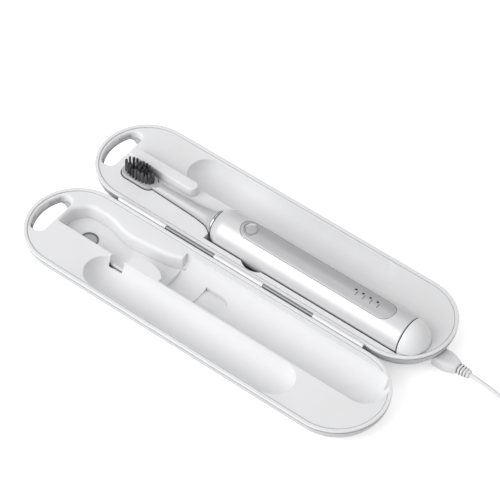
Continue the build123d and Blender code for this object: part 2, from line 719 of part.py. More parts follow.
with BuildPart() as lid_tray:
    add(on_lid(tray_common.part))
    add(under_deck(lid_pocket_skin.part, on_lid(shell_room)))
    add(on_lid(trough_tool), mode=Mode.SUBTRACT)
    add(handle_pocket.part, mode=Mode.SUBTRACT)
    add(prism(head_pocket_plan(), LID_HEAD_Z, RIM_Z), mode=Mode.SUBTRACT)
    add(pocket_roll.part, mode=Mode.SUBTRACT)
    with BuildSketch(Plane.XY.offset(BUTTON_POCKET_Z)):
        add(button_pocket(0))
    extrude(amount=3.0, mode=Mode.SUBTRACT)
    with BuildSketch(Plane.XY.offset(NOTCH_Z)):
        with Locations(((NOTCH_X[0] + NOTCH_X[1]) / 2, HINGE_Y - 37.0)):
            RectangleRounded(NOTCH_X[1] - NOTCH_X[0], 8.0, 1.2)
    extrude(amount=RIM_Z, mode=Mode.SUBTRACT)
    with BuildSketch(Plane.XY):
        with Locations((LAMP_X, LAMP_Y)):
            Circle(LAMP_R)
    extrude(amount=RIM_Z, mode=Mode.SUBTRACT)
    for step in (-1, 1):
        with BuildSketch(across(step * HINGE_SEGMENT - HINGE_SEGMENT / 2)):
            with Locations((HINGE_Y - 4.4, SHELL_TOP + LEAF_THICK)):
                Rectangle(3.0, 1.0)
        extrude(amount=HINGE_SEGMENT, mode=Mode.SUBTRACT)
finish(lid_tray, "lid_tray")

with BuildPart() as lid_pull_insert:
    add(on_lid(insert_common.part))
finish(lid_pull_insert, "lid_pull_insert")

with BuildPart() as lid_screws:
    add(on_lid(screws_common.part))
finish(lid_screws, "lid_screws")

with BuildPart() as lid_feet:
    add(on_lid(feet_common.part))
finish(lid_feet, "lid_feet")

with BuildPart() as lid_magnets:
    add(on_lid(magnets_common.part))
finish(lid_magnets, "lid_magnets")

with BuildPart() as hinge_leaves:
    # slim rolled knuckles in the second and fourth lengths, with a leaf under the lid's lip
    for step in (-1, 1):
        with BuildSketch(across(step * HINGE_SEGMENT - HINGE_SEGMENT / 2 + KNUCKLE_END_GAP)):
            with Locations((HINGE_Y, RIM_Z)):
                Circle(LEAF_R)
            with Locations((HINGE_Y - LEAF_R + LEAF_THICK / 2, RIM_Z - 0.8)):
                Rectangle(LEAF_THICK, 1.6)
            with Locations((HINGE_Y - 3.2, SHELL_TOP + 0.15 + LEAF_THICK / 2)):
                Rectangle(5.0, LEAF_THICK)
            with Locations((HINGE_Y, RIM_Z)):
                Circle(PIN_R + 0.05, mode=Mode.SUBTRACT)
        extrude(amount=HINGE_SEGMENT - 2 * KNUCKLE_END_GAP)
finish(hinge_leaves, "hinge_leaves")

with BuildPart() as lamp_bezel:
    with BuildSketch(Plane.XY.offset(LID_HEAD_Z - 1.0)):
        with Locations((LAMP_X, LAMP_Y)):
            Circle(LAMP_R - 0.05)
            Circle(LAMP_R - 1.2, mode=Mode.SUBTRACT)
    extrude(amount=0.8)
finish(lamp_bezel, "lamp_bezel")

with BuildPart() as lamp_window:
    with BuildSketch(Plane.XY.offset(LID_HEAD_Z - 1.2)):
        with Locations((LAMP_X, LAMP_Y)):
            Circle(LAMP_R - 1.25)
    extrude(amount=0.8)
finish(lamp_window, "lamp_window")

with BuildPart() as lamp_board:
    with BuildSketch(Plane.XY.offset(LAMP_BOARD_Z)):
        with Locations((LAMP_X, LAMP_Y)):
            Rectangle(16.0, 11.0)
    extrude(amount=0.8)
finish(lamp_board, "lamp_board")

with BuildPart() as uv_lamps:
    with BuildSketch(Plane.XY.offset(LAMP_BOARD_Z + 0.8)):
        with Locations((LAMP_X, LAMP_Y)):
            with GridLocations(4.5, 4.5, 2, 1):
                Rectangle(3.0, 3.0)
    extrude(amount=1.0)
finish(uv_lamps, "uv_lamps")

# ================================================================= toothbrush

with BuildPart() as handle_shell:
    with BuildSketch(BRUSH_SIDE) as handle_side:
        with BuildLine():
            shoulder = Spline((HANDLE_FRONT_X, RING_R - 0.1), (HANDLE_FRONT_X + 2.2, RING_R + 2.3),
                              (SHOULDER_X, HANDLE_R), tangents=((0.3, 1), (1, 0)))
            Polyline(shoulder @ 1, (HANDLE_END_X, HANDLE_R), (HANDLE_END_X, 0),
                     (HANDLE_FRONT_X, 0), shoulder @ 0)
        make_face()
        fillet(handle_side.vertices().group_by(Axis.X)[-1].sort_by(Axis.Z)[-1], 0.6)
    revolve(axis=BRUSH_AXIS)
    for x0, x1, radius in ((HANDLE_FRONT_X, HANDLE_FRONT_X + 5, SHAFT_R + 0.06),
                           (HANDLE_FRONT_X + 3, SHOULDER_X + 2, RING_R - 0.8),
                           (SHOULDER_X + 1, CAP_X, HANDLE_R - HANDLE_WALL),
                           (CAP_X, HANDLE_END_X, HANDLE_R - 1.1)):
        with BuildSketch(across(x0)):
            with Locations((BRUSH_Y, RIM_Z)):
                Circle(radius)
        extrude(amount=x1 - x0, mode=Mode.SUBTRACT)
    # shallow bed for the control panel, and the button's guide
    add(panel_strip(HANDLE_R + 2, HANDLE_R - PANEL_THICK - 0.02, SEAM), mode=Mode.SUBTRACT)
    with BuildSketch(Plane.XY.offset(RIM_Z + 5)):
        with Locations((BUTTON_X, BRUSH_Y)):
            Circle(BUTTON_R + 0.06)
    extrude(amount=10, mode=Mode.SUBTRACT)
finish(handle_shell, "handle_shell")

with BuildPart() as handle_end_cap:
    with BuildSketch(across(CAP_X + 0.05)):
        with Locations((BRUSH_Y, RIM_Z)):
            Circle(HANDLE_R - 1.12)
    extrude(amount=HANDLE_END_X - CAP_X - 0.3)
    chamfer(handle_end_cap.edges().group_by(Axis.X)[-1], 0.2)
finish(handle_end_cap, "handle_end_cap")

with BuildPart() as control_panel:
    add(panel_strip(HANDLE_R - 0.05, HANDLE_R - PANEL_THICK, 0))
    with BuildSketch(Plane.XY.offset(RIM_Z)):
        with Locations((BUTTON_X, BRUSH_Y)):
            Circle(BEZEL_R + 0.05)
        with Locations(*[(x, BRUSH_Y + LIGHT_Y) for x in LIGHT_X]):
            Circle(LIGHT_R + 0.03)
    extrude(amount=2 * HANDLE_R, mode=Mode.SUBTRACT)
finish(control_panel, "control_panel")

with BuildPart() as button_bezel:
    # a dished ring round the power button, seated on the panel's bed
    with BuildSketch(Plane((BUTTON_X, BRUSH_Y, RIM_Z), x_dir=(1, 0, 0), z_dir=(0, -1, 0))):
        with BuildLine():
            Polyline((BUTTON_R + 0.1, 11.0), (BEZEL_R, 11.0), (BEZEL_R, 12.8), (BEZEL_R - 0.3, 12.95),
                     (BUTTON_R + 0.1, 12.6), close=True)
        make_face()
    revolve(axis=Axis((BUTTON_X, BRUSH_Y, 0), (0, 0, 1)))
    add(tube(HANDLE_R - PANEL_THICK), mode=Mode.SUBTRACT)
finish(button_bezel, "button_bezel")

with BuildPart() as power_button:
    with BuildSketch(Plane.XY.offset(RIM_Z + BUTTON_FLANGE[0])):
        with Locations((BUTTON_X, BRUSH_Y)):
            Circle(BUTTON_R + 0.8)
    extrude(amount=BUTTON_FLANGE[1] - BUTTON_FLANGE[0])
    with BuildSketch(Plane.XY.offset(RIM_Z + BUTTON_FLANGE[1])):
        with Locations((BUTTON_X, BRUSH_Y)):
            Circle(BUTTON_R)
    extrude(amount=BUTTON_TOP - BUTTON_FLANGE[1])
    fillet(power_button.edges().group_by(Axis.Z)[-1], 0.25)
finish(power_button, "power_button")

with BuildPart() as indicator_lights:
    with BuildSketch(Plane.XY.offset(RIM_Z + HANDLE_R - 2)):
        with Locations(*[(x, BRUSH_Y + LIGHT_Y) for x in LIGHT_X]):
            Circle(LIGHT_R)
    extrude(amount=3)
    add(tube(HANDLE_R - 0.05, HANDLE_R - PANEL_THICK), mode=Mode.INTERSECT)
finish(indicator_lights, "indicator_lights")

with BuildPart() as seal_ring:
    with BuildSketch(across(HANDLE_FRONT_X - 0.5)):
        with Locations((BRUSH_Y, RIM_Z)):
            Circle(RING_R - 0.2)
            Circle(SHAFT_R + 1.0, mode=Mode.SUBTRACT)
    extrude(amount=0.5)
finish(seal_ring, "seal_ring")

with BuildPart() as chrome_ring:
    with BuildSketch(across(HANDLE_FRONT_X - 1.5)):
        with Locations((BRUSH_Y, RIM_Z)):
            Circle(RING_R)
            Circle(SHAFT_R + 1.0, mode=Mode.SUBTRACT)
    extrude(amount=1.0)
    fillet(chrome_ring.edges().filter_by(GeomType.CIRCLE).sort_by(SortBy.RADIUS)[-2:], 0.25)
finish(chrome_ring, "chrome_ring")

with BuildPart() as motor:
    with BuildSketch(across(SHOULDER_X + 1.2)):
        with Locations((BRUSH_Y, RIM_Z)):
            Circle(7.0)
    extrude(amount=34.0)
    chamfer(motor.edges(), 0.5)
    with BuildSketch(across(SHOULDER_X + 1.2)):
        with Locations((BRUSH_Y, RIM_Z)):
            Circle(SHAFT_R + 0.06)
    extrude(amount=4.0, mode=Mode.SUBTRACT)
finish(motor, "motor")

with BuildPart() as brush_battery:
    with BuildSketch(across(24.0)):
        with Locations((BRUSH_Y, RIM_Z)):
            Circle(7.0)
    extrude(amount=50.0)
    chamfer(brush_battery.edges(), 0.5)
    with BuildSketch(across(74.0)):
        with Locations((BRUSH_Y, RIM_Z)):
            Circle(2.7)
    extrude(amount=1.2)
finish(brush_battery, "brush_battery")

with BuildPart() as brush_board:
    with BuildSketch(Plane.XY.offset(RIM_Z + BOARD_Z)):
        with Locations((40.0, BRUSH_Y)):
            Rectangle(108.0, 11.0)
    extrude(amount=0.6)
    with BuildSketch(Plane.XY.offset(RIM_Z + BOARD_Z + 0.6)):
        with Locations(*[(x, BRUSH_Y + LIGHT_Y) for x in LIGHT_X]):
            Rectangle(1.6, 0.8)
        with Locations((30.0, BRUSH_Y)):
            Rectangle(6.0, 6.0)
    extrude(amount=0.8)
finish(brush_board, "brush_board")

with BuildPart() as brush_coil:
    with BuildSketch(across(101.5)):
        with Locations((BRUSH_Y, RIM_Z)):
            Circle(10.5)
            Circle(6.0, mode=Mode.SUBTRACT)
    extrude(amount=4.0)
finish(brush_coil, "brush_coil")

with BuildPart() as brush_head:
    with BuildSketch(Plane.XY.offset(HEAD_BOTTOM)):
        with Locations((HEAD_X, BRUSH_Y)):
            SlotOverall(HEAD_LENGTH, 2 * HEAD_HALF_WIDTH)
    extrude(amount=HEAD_TOP - HEAD_BOTTOM)
    fillet(brush_head.edges().group_by(Axis.Z)[0], 1.0)
    fillet(brush_head.edges().group_by(Axis.Z)[-1], 0.3)
    add(neck_body(0))
    # the neck slopes down to the face that carries the tufts
    with BuildSketch(BRUSH_SIDE):
        Polygon((-88.0, 1.6), (-80.5, 1.6), (-73.0, 4.5), (-88.0, 4.5), align=None)
    extrude(amount=HEAD_HALF_WIDTH + 1, both=True, mode=Mode.SUBTRACT)
    with BuildSketch(across(SHAFT_X[0] - 0.1)):
        with Locations((BRUSH_Y, RIM_Z)):
            Circle(SHAFT_R + 0.03)
    extrude(amount=30, mode=Mode.SUBTRACT)
finish(brush_head, "brush_head")

with BuildPart() as bristle_tufts:
    # two oval rings of round tufts; the inner ring and every fourth outer tuft stand lower
    for count, half_length, half_width, drop in TUFT_RINGS:
        ring = Edge.make_ellipse(half_length, half_width)
        for k in range(count):
            spot = ring @ (k / count)
            notch = TUFT_NOTCH if drop == 0 and k % 4 == 2 else 0
            with BuildSketch(Plane.XY.offset(HEAD_TOP)):
                with Locations((HEAD_X + spot.X, BRUSH_Y + spot.Y)):
                    Circle(TUFT_R)
            extrude(amount=TUFT_TOP - HEAD_TOP - drop - notch)
finish(bristle_tufts, "bristle_tufts")

with BuildPart() as drive_shaft:
    with BuildSketch(across(SHAFT_X[0])):
        with Locations((BRUSH_Y, RIM_Z)):
            Circle(SHAFT_R)
    extrude(amount=SHAFT_X[1] - SHAFT_X[0])
finish(drive_shaft, "drive_shaft")

# ================================================================= charging lead

with BuildPart() as plug_shell:
    with BuildSketch(across(SOCKET_X + 1.2)):
        with Locations((SOCKET_Y, SOCKET_Z)):
            RectangleRounded(6.8, 1.9, 0.45)
            RectangleRounded(6.2, 1.3, 0.3, mode=Mode.SUBTRACT)
    extrude(amount=PLUG_FACE_X - SOCKET_X - 1.2)
finish(plug_shell, "plug_shell")

with BuildPart() as plug_overmold:
    with BuildSketch(across(PLUG_FACE_X)):
        with Locations((SOCKET_Y, SOCKET_Z)):
            RectangleRounded(PLUG_WIDTH, PLUG_HEIGHT, 1.6)
    extrude(amount=PLUG_LENGTH)
    fillet(plug_overmold.edges().group_by(Axis.X)[-1], 1.0)
    fillet(plug_overmold.edges().group_by(Axis.X)[0], 0.4)
    # ribbed strain relief
    with BuildSketch(across(PLUG_FACE_X + PLUG_LENGTH)):
        with Locations((SOCKET_Y, SOCKET_Z)):
            Circle(CABLE_R + 0.7)
    extrude(amount=RELIEF_LENGTH)
    for rib in range(4):
        with BuildSketch(across(PLUG_FACE_X + PLUG_LENGTH + 0.9 + 1.9 * rib)):
            with Locations((SOCKET_Y, SOCKET_Z)):
                RectangleRounded(6.4 - 0.4 * rib, 5.6 - 0.4 * rib, 1.8)
        extrude(amount=1.1)
    with BuildSketch(across(PLUG_FACE_X + PLUG_LENGTH - 2)):
        with Locations((SOCKET_Y, SOCKET_Z)):
            Circle(CABLE_R)
    extrude(amount=RELIEF_LENGTH + 2, mode=Mode.SUBTRACT)
    # raised grip frame on the top
    with BuildSketch(Plane.XY.offset(SOCKET_Z + PLUG_HEIGHT / 2 - 0.2)):
        with Locations((PLUG_FACE_X + PLUG_LENGTH / 2, SOCKET_Y)):
            RectangleRounded(9.0, 6.4, 1.0)
            RectangleRounded(8.0, 5.4, 0.6, mode=Mode.SUBTRACT)
    extrude(amount=0.4)
finish(plug_overmold, "plug_overmold")

with BuildPart() as lead_cable:
    with BuildLine() as cable_path:
        inside = Line((PLUG_FACE_X + PLUG_LENGTH - 1.9, SOCKET_Y, SOCKET_Z),
                      (PLUG_FACE_X + PLUG_LENGTH + RELIEF_LENGTH, SOCKET_Y, SOCKET_Z))
        Spline(inside @ 1, (174.0, -4.4, 2.4), (196.0, -2.6, 1.5), (218.0, 0.8, 2.4), CABLE_END,
               tangents=((1, 0, 0), (1, 0, 0)))
    with BuildSketch(across(PLUG_FACE_X + PLUG_LENGTH - 1.9)):
        with Locations((SOCKET_Y, SOCKET_Z)):
            Circle(CABLE_R - 0.01)
    sweep()
finish(lead_cable, "lead_cable")

with BuildPart() as usb_a_overmold:
    with BuildSketch(across(CABLE_END[0])):
        with Locations((CABLE_END[1], CABLE_END[2])):
            RectangleRounded(15.6, 7.4, 1.8)
    extrude(amount=20.0)
    fillet(usb_a_overmold.edges().group_by(Axis.X)[0], 1.2)
finish(usb_a_overmold, "usb_a_overmold")

with BuildPart() as usb_a_shell:
    with BuildSketch(across(CABLE_END[0] + 20.0)):
        with Locations((CABLE_END[1], CABLE_END[2])):
            RectangleRounded(12.0, 4.5, 0.4)
            RectangleRounded(11.4, 3.9, 0.2, mode=Mode.SUBTRACT)
    extrude(amount=12.0)
finish(usb_a_shell, "usb_a_shell")

with BuildPart() as usb_a_insert:
    with BuildSketch(across(CABLE_END[0] + 20.0)):
        with Locations((CABLE_END[1], CABLE_END[2] + 0.9)):
            Rectangle(11.2, 1.9)
    extrude(amount=11.4)
finish(usb_a_insert, "usb_a_insert")
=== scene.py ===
import json
import math
import random

import bpy
from mathutils import Matrix, Vector


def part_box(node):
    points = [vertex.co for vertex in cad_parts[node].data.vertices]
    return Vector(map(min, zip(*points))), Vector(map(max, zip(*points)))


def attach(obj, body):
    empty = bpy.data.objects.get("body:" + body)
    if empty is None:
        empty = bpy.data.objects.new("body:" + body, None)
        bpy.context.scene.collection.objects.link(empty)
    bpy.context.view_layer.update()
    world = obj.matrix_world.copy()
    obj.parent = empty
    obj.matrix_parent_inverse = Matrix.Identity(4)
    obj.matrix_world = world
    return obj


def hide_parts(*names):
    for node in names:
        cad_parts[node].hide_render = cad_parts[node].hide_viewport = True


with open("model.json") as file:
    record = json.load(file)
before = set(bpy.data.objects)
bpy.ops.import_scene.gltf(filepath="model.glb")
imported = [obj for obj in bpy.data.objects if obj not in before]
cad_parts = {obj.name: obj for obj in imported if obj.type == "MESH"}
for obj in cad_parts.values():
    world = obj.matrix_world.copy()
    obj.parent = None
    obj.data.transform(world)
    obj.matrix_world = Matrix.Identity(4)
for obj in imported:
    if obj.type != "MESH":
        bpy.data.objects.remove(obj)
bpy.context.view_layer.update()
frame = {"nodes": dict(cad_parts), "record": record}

MM = 0.001
NODES = frame["nodes"]
RECORD = frame["record"]
SLOT_OF = {row["node"]: row["material_slot"] for row in RECORD["subparts"]}


# ---------------------------------------------------------------- materials

# painted shade: the base colour is darkened in narrow gaps and inner corners, out to this reach
SHADE_REACH = 2.5 * MM
SHADE_DARKEST, SHADE_CLEAR = 0.2, 0.65  # how open a spot is where darkening is full, and where it ends
PATCH_LOW, PATCH_HIGH = 0.35, 0.65  # noise levels at which the two tones are reached
LEAST_ROUGH = 0.02
BUMP_DEPTH = 0.1 * MM
COAT_ROUGHNESS = 0.15


def link(tree, start, end):
    tree.links.new(start, end)


def add_node(tree, kind, **values):
    node = tree.nodes.new(kind)
    for name, value in values.items():
        if name in node.inputs:
            node.inputs[name].default_value = value
        else:
            setattr(node, name, value)
    return node


def surface(name, colour, rough, metal=0.0, tone=0.02, patch=25.0, grain=1500.0, bump=0.08,
            stretch=(1.0, 1.0, 1.0), coat=0.0, rough_spread=0.04, specular=0.5, painted_gap_shade=0.0):
    """A procedural finish: two close tones in soft patches, with a fine grain in roughness and bump.

    The gap-shade argument is how far narrow gaps and inner corners are darkened in the base colour:
    painted shade.
    """
    material = bpy.data.materials.new(name)
    material.use_nodes = True
    tree = material.node_tree
    shader = tree.nodes["Principled BSDF"]
    place = add_node(tree, "ShaderNodeTexCoord")
    scale = add_node(tree, "ShaderNodeMapping")
    scale.inputs["Scale"].default_value = stretch
    link(tree, place.outputs["Object"], scale.inputs["Vector"])
    patches = add_node(tree, "ShaderNodeTexNoise", Scale=patch, Detail=3.0, Roughness=0.5)
    grains = add_node(tree, "ShaderNodeTexNoise", Scale=grain, Detail=4.0, Roughness=0.6)
    link(tree, scale.outputs["Vector"], patches.inputs["Vector"])
    link(tree, scale.outputs["Vector"], grains.inputs["Vector"])
    ramp = add_node(tree, "ShaderNodeValToRGB")
    low = [c * (1 - tone) for c in colour] + [1.0]
    high = [min(1.0, c * (1 + tone)) for c in colour] + [1.0]
    ramp.color_ramp.elements[0].position = PATCH_LOW
    ramp.color_ramp.elements[1].position = PATCH_HIGH
    ramp.color_ramp.elements[0].color = low
    ramp.color_ramp.elements[1].color = high
    link(tree, patches.outputs["Fac"], ramp.inputs["Fac"])
    link(tree, ramp.outputs["Color"], shader.inputs["Base Color"])
    # painted shade: ambient occlusion darkens the base colour in narrow gaps and inner corners
    if painted_gap_shade:
        near = add_node(tree, "ShaderNodeAmbientOcclusion", samples=6, Distance=SHADE_REACH)
        shade = add_node(tree, "ShaderNodeMapRange")
        shade.inputs["From Min"].default_value = SHADE_DARKEST
        shade.inputs["From Max"].default_value = SHADE_CLEAR
        shade.inputs["To Min"].default_value = 1 - painted_gap_shade
        painted_shade = add_node(tree, "ShaderNodeVectorMath", operation="SCALE")
        link(tree, near.outputs["AO"], shade.inputs["Value"])
        link(tree, ramp.outputs["Color"], painted_shade.inputs[0])
        link(tree, shade.outputs["Result"], painted_shade.inputs["Scale"])
        link(tree, painted_shade.outputs["Vector"], shader.inputs["Base Color"])
    spread = add_node(tree, "ShaderNodeMapRange")
    spread.inputs["To Min"].default_value = max(LEAST_ROUGH, rough - rough_spread)
    spread.inputs["To Max"].default_value = min(1.0, rough + rough_spread)
    link(tree, grains.outputs["Fac"], spread.inputs["Value"])
    link(tree, spread.outputs["Result"], shader.inputs["Roughness"])
    relief = add_node(tree, "ShaderNodeBump", Strength=bump, Distance=BUMP_DEPTH)
    link(tree, grains.outputs["Fac"], relief.inputs["Height"])
    link(tree, relief.outputs["Normal"], shader.inputs["Normal"])
    shader.inputs["Metallic"].default_value = metal
    shader.inputs["Coat Weight"].default_value = coat
    shader.inputs["Coat Roughness"].default_value = COAT_ROUGHNESS
    shader.inputs["Specular IOR Level"].default_value = specular
    return material


BRUSHED = (1.0, 30.0, 30.0)  # grain drawn out along the brush and the hinge
# the gap-shade values paint shade into the gaps and inner corners of the shell, tray, dock, handle,
# panel, neck and lead finishes
FINISHES = {
    # the shell's white is kept a darker grey than the tray's: painted shade standing in for its
    # shaded sides under the lip
    "shell_white": surface("shell_white", (0.62, 0.62, 0.63), 0.42, tone=0.01, painted_gap_shade=0.25),
    "tray_white": surface("tray_white", (0.80, 0.80, 0.81), 0.5, tone=0.01, painted_gap_shade=0.35,
                          specular=0.3),
    "insert_grey": surface("insert_grey", (0.45, 0.45, 0.46), 0.45),
    "screw_steel": surface("screw_steel", (0.55, 0.55, 0.56), 0.35, metal=1.0),
    "foot_rubber": surface("foot_rubber", (0.30, 0.30, 0.31), 0.8, tone=0.08, bump=0.3),
    "magnet_metal": surface("magnet_metal", (0.7, 0.7, 0.72), 0.2, metal=1.0),
    "hinge_metal": surface("hinge_metal", (0.30, 0.30, 0.31), 0.4, metal=0.5, stretch=BRUSHED),
    "dock_white": surface("dock_white", (0.82, 0.82, 0.83), 0.34, coat=0.2, tone=0.01, painted_gap_shade=0.5),
    "copper": surface("copper", (0.72, 0.36, 0.2), 0.35, metal=1.0, grain=4000.0, bump=0.4),
    "ferrite": surface("ferrite", (0.05, 0.05, 0.055), 0.7, tone=0.2, bump=0.3),
    "board_green": surface("board_green", (0.03, 0.2, 0.08), 0.4, coat=0.4, tone=0.15),
    "cell_wrap": surface("cell_wrap", (0.2, 0.28, 0.42), 0.3, coat=0.4, tone=0.06),
    "connector_metal": surface("connector_metal", (0.7, 0.7, 0.72), 0.25, metal=1.0, stretch=BRUSHED),
    "lamp_ring": surface("lamp_ring", (0.16, 0.16, 0.17), 0.3, coat=0.5),
    "lamp_glass": surface("lamp_glass", (0.45, 0.46, 0.48), 0.12, coat=0.8),
    "lamp_die": surface("lamp_die", (0.85, 0.8, 0.4), 0.2, coat=0.5),
    "handle_pearl": surface("handle_pearl", (0.66, 0.66, 0.67), 0.38, metal=0.2, coat=0.4,
                            grain=6000.0, bump=0.05, painted_gap_shade=0.95),
    "panel_silver": surface("panel_silver", (0.52, 0.52, 0.53), 0.32, metal=0.45, coat=0.1,
                            grain=3000.0, bump=0.06, stretch=(1.0, 12.0, 12.0), painted_gap_shade=0.95),
    "bezel_chrome": surface("bezel_chrome", (0.62, 0.62, 0.63), 0.16, metal=1.0),
    "button_grey": surface("button_grey", (0.50, 0.50, 0.51), 0.4, metal=0.2, stretch=BRUSHED),
    "light_lens": surface("light_lens", (0.02, 0.02, 0.022), 0.6, tone=0.2, specular=0.2),
    "seal_black": surface("seal_black", (0.02, 0.02, 0.02), 0.6, tone=0.3),
    "motor_steel": surface("motor_steel", (0.6, 0.6, 0.62), 0.3, metal=1.0, stretch=BRUSHED),
    "neck_silver": surface("neck_silver", (0.52, 0.52, 0.53), 0.42, metal=0.15, coat=0.1,
                           grain=5000.0, bump=0.05, painted_gap_shade=0.85),
    "bristle_black": surface("bristle_black", (0.12, 0.12, 0.125), 0.5, tone=0.85, patch=900.0,
                             stretch=(1.0, 1.0, 0.1)),
    "lead_grey": surface("lead_grey", (0.78, 0.78, 0.79), 0.5, tone=0.02, bump=0.15, painted_gap_shade=0.6),
}


# ---------------------------------------------------------------- CAD nodes keep their shapes

CREASE = math.radians(28)  # CAD faces that meet more sharply than this keep a crisp edge
WELD_REACH = 1e-6

for name, node in NODES.items():
    node.data.materials.clear()
    node.data.materials.append(FINISHES[SLOT_OF[name]])
    for face in node.data.polygons:
        face.use_smooth = True
    weld = node.modifiers.new("join_faces", "WELD")
    weld.merge_threshold = WELD_REACH
    split = node.modifiers.new("crisp_edges", "EDGE_SPLIT")
    split.split_angle = CREASE


# ---------------------------------------------------------------- new pieces

def new_piece(name, points, faces, body, slot_name, smooth=True):
    """A mesh piece in the shared frame that rides on a body and has a slot's finish."""
    mesh = bpy.data.meshes.new(name)
    mesh.from_pydata(points, [], faces)
    mesh.validate()
    mesh.update()
    for face in mesh.polygons:
        face.use_smooth = smooth
    piece = bpy.data.objects.new(name, mesh)
    bpy.context.scene.collection.objects.link(piece)
    mesh.materials.append(FINISHES[slot_name])
    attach(piece, body)
    return piece


def islands(mesh):
    """The lowest and highest corners of each separate piece of a mesh."""
    owner = list(range(len(mesh.vertices)))

    def root(i):
        while owner[i] != i:
            owner[i] = owner[owner[i]]
            i = owner[i]
        return i

    at = {}
    for v in mesh.vertices:
        key = tuple(round(c / WELD_REACH) for c in v.co)
        if key in at:
            owner[root(v.index)] = root(at[key])
        else:
            at[key] = v.index
    for edge in mesh.edges:
        owner[root(edge.vertices[0])] = root(edge.vertices[1])
    groups = {}
    for v in mesh.vertices:
        groups.setdefault(root(v.index), []).append(v.co.copy())
    found = []
    for group in groups.values():
        low = Vector([min(p[k] for p in group) for k in range(3)])
        high = Vector([max(p[k] for p in group) for k in range(3)])
        found.append((low, high))
    return sorted(found, key=lambda box: (round(box[0].x, 5), round(box[0].y, 5)))


# ---------------------------------------------------------------- bristles

FILAMENT_R = 0.115 * MM
FILAMENTS = 30  # in each tuft
SIDES = 5
FILAMENT_RINGS = ((0.0, 1.0), (0.9, 0.95), (0.98, 0.7), (1.0, 0.25))  # share of length, of radius
GOLDEN_ANGLE = math.radians(137.5)
ROOT_DEPTH = 0.2 * MM
LEAN = 0.25 * MM
SPLAY = 0.12  # how far a tip moves out, as a share of its distance from the tuft's middle
TIP_SPREAD = 0.18 * MM
TIP_CROWN = 0.25 * MM


def filament(points, faces, foot, tip, radius):
    """One bristle: a slim tapered rod with a rounded tip."""
    along = tip - foot
    side = along.cross(Vector((0, 1, 0))).normalized()
    other = along.cross(side).normalized()
    first = len(points)
    for share, width in FILAMENT_RINGS:
        centre = foot + along * share
        for k in range(SIDES):
            turn = 2 * math.pi * k / SIDES
            points.append(centre + (side * math.cos(turn) + other * math.sin(turn)) * radius * width)
    for ring in range(len(FILAMENT_RINGS) - 1):
        for k in range(SIDES):
            a = first + ring * SIDES + k
            b = first + ring * SIDES + (k + 1) % SIDES
            faces.append((a, b, b + SIDES, a + SIDES))
    last = first + (len(FILAMENT_RINGS) - 1) * SIDES
    faces.append(tuple(range(last, last + SIDES)))
    faces.append(tuple(reversed(range(first, first + SIDES))))


def make_bristles():
    """Tapered filaments in place of the plain tufts, a sunflower pattern of them in each tuft."""
    chance = random.Random(7)
    points, faces = [], []
    for low, high in islands(NODES["bristle_tufts"].data):
        middle = (low + high) / 2
        tuft_radius = (high.x - low.x) / 2 - FILAMENT_R
        for k in range(FILAMENTS):
            reach = tuft_radius * math.sqrt((k + 0.5) / FILAMENTS)
            turn = k * GOLDEN_ANGLE
            outward = Vector((math.cos(turn), math.sin(turn), 0))
            foot = Vector((middle.x, middle.y, low.z - ROOT_DEPTH)) + outward * reach
            lean = Vector((chance.uniform(-LEAN, LEAN), chance.uniform(-LEAN, LEAN), 0))
            dip = abs(chance.gauss(0, TIP_SPREAD)) + TIP_CROWN * (reach / tuft_radius) ** 2
            rise = Vector((0, 0, high.z - low.z + ROOT_DEPTH - dip))
            filament(points, faces, foot, foot + lean + outward * reach * SPLAY + rise, FILAMENT_R)
    bristles = new_piece("bristles", points, faces, "brush_head", "bristle_black")
    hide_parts("bristle_tufts")


make_bristles()


# ---------------------------------------------------------------- bars beside the indicator lights

handle_low, handle_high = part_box("handle_shell")
PANEL_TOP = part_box("control_panel")[1][2]
AXIS_Y = (handle_low[1] + handle_high[1]) / 2
AXIS_Z = handle_high[2] - (handle_high[1] - handle_low[1]) / 2
MARK_WIDTH = 0.35 * MM
MARK_STEPS = 6
MARK_GAP = 0.8 * MM
MARK_NEAR, MARK_FAR = -2.6 * MM, 0.6 * MM  # a bar's ends, from the handle's centre line
MARK_SUNK, MARK_PROUD = 0.06 * MM, 0.03 * MM


def panel_mark(points, faces, x, y_near, y_far):
    """A slim printed bar that follows the round panel, a hair proud of it."""
    first = len(points)
    for step in range(MARK_STEPS + 1):
        y = y_near + (y_far - y_near) * step / MARK_STEPS
        for radius in (PANEL_TOP - AXIS_Z - MARK_SUNK, PANEL_TOP - AXIS_Z + MARK_PROUD):
            z = AXIS_Z + math.sqrt(radius ** 2 - (y - AXIS_Y) ** 2)
            points.append(Vector((x, y, z)))
            points.append(Vector((x + MARK_WIDTH, y, z)))
    for step in range(MARK_STEPS):
        a = first + 4 * step
        for low, high in ((1, 0), (3, 1), (2, 3), (0, 2)):
            faces.append((a + low, a + high, a + high + 4, a + low + 4))
    last = first + 4 * MARK_STEPS
    faces.append((first, first + 1, first + 3, first + 2))
    faces.append((last + 2, last + 3, last + 1, last))


def make_panel_marks():
    """One bar beside each indicator light."""
    points, faces = [], []
    for low, high in islands(NODES["indicator_lights"].data):
        panel_mark(points, faces, high.x + MARK_GAP, AXIS_Y + MARK_NEAR, AXIS_Y + MARK_FAR)
    new_piece("panel_marks", points, faces, "brush", "light_lens", smooth=False)


make_panel_marks()


# ---------------------------------------------------------------- small plug's overmould

